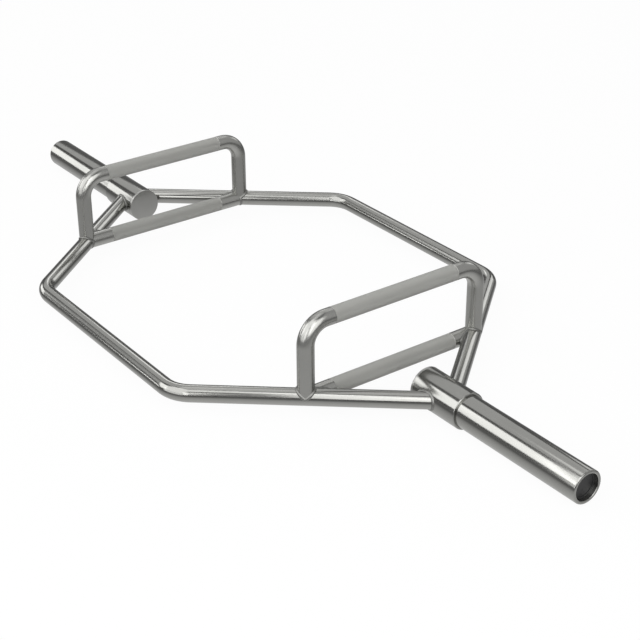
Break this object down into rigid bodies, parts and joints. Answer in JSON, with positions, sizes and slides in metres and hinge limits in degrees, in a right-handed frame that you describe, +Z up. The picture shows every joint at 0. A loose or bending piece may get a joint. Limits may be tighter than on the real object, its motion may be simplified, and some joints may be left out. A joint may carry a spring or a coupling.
{
  "type": "hex trap bar",
  "caption": "Hexagonal trap bar for deadlifts and carries: bent round steel bars joined at collars with plate sleeves, and high and low knurled handles.",
  "frame": {"origin": "on the floor under the middle of the bar, half way between the sleeve ends and between the front and rear bars", "axes": "+X along the sleeves to the right-hand sleeve, +Y to the rear bar, +Z up; the sleeves' axis is 28.5 mm above the origin"},
  "size_m": [1.436, 0.631, 0.1573],
  "materials": {
    "frame_chrome": "satin polished",
    "handle_chrome": "satin polished with a knurled grip",
    "collar_chrome": "satin turned",
    "sleeve_chrome": "satin turned",
    "weld_metal": "dressed weld",
    "plug_black": "moulded"
  },
  "bodies": {
    "root": {"front_frame_bar": "frame_chrome", "rear_frame_bar": "frame_chrome", "right_high_handle": "handle_chrome", "right_low_handle": "handle_chrome", "right_collar": "collar_chrome", "right_collar_cap": "collar_chrome", "right_sleeve": "sleeve_chrome", "right_sleeve_plug": "plug_black", "right_front_collar_weld": "weld_metal", "right_rear_collar_weld": "weld_metal", "right_high_handle_welds": "weld_metal", "right_low_handle_welds": "weld_metal", "left_high_handle": "handle_chrome", "left_low_handle": "handle_chrome", "left_collar": "collar_chrome", "left_collar_cap": "collar_chrome", "left_sleeve": "sleeve_chrome", "left_sleeve_plug": "plug_black", "left_front_collar_weld": "weld_metal", "left_rear_collar_weld": "weld_metal", "left_high_handle_welds": "weld_metal", "left_low_handle_welds": "weld_metal"}
  },
  "joints": []
}
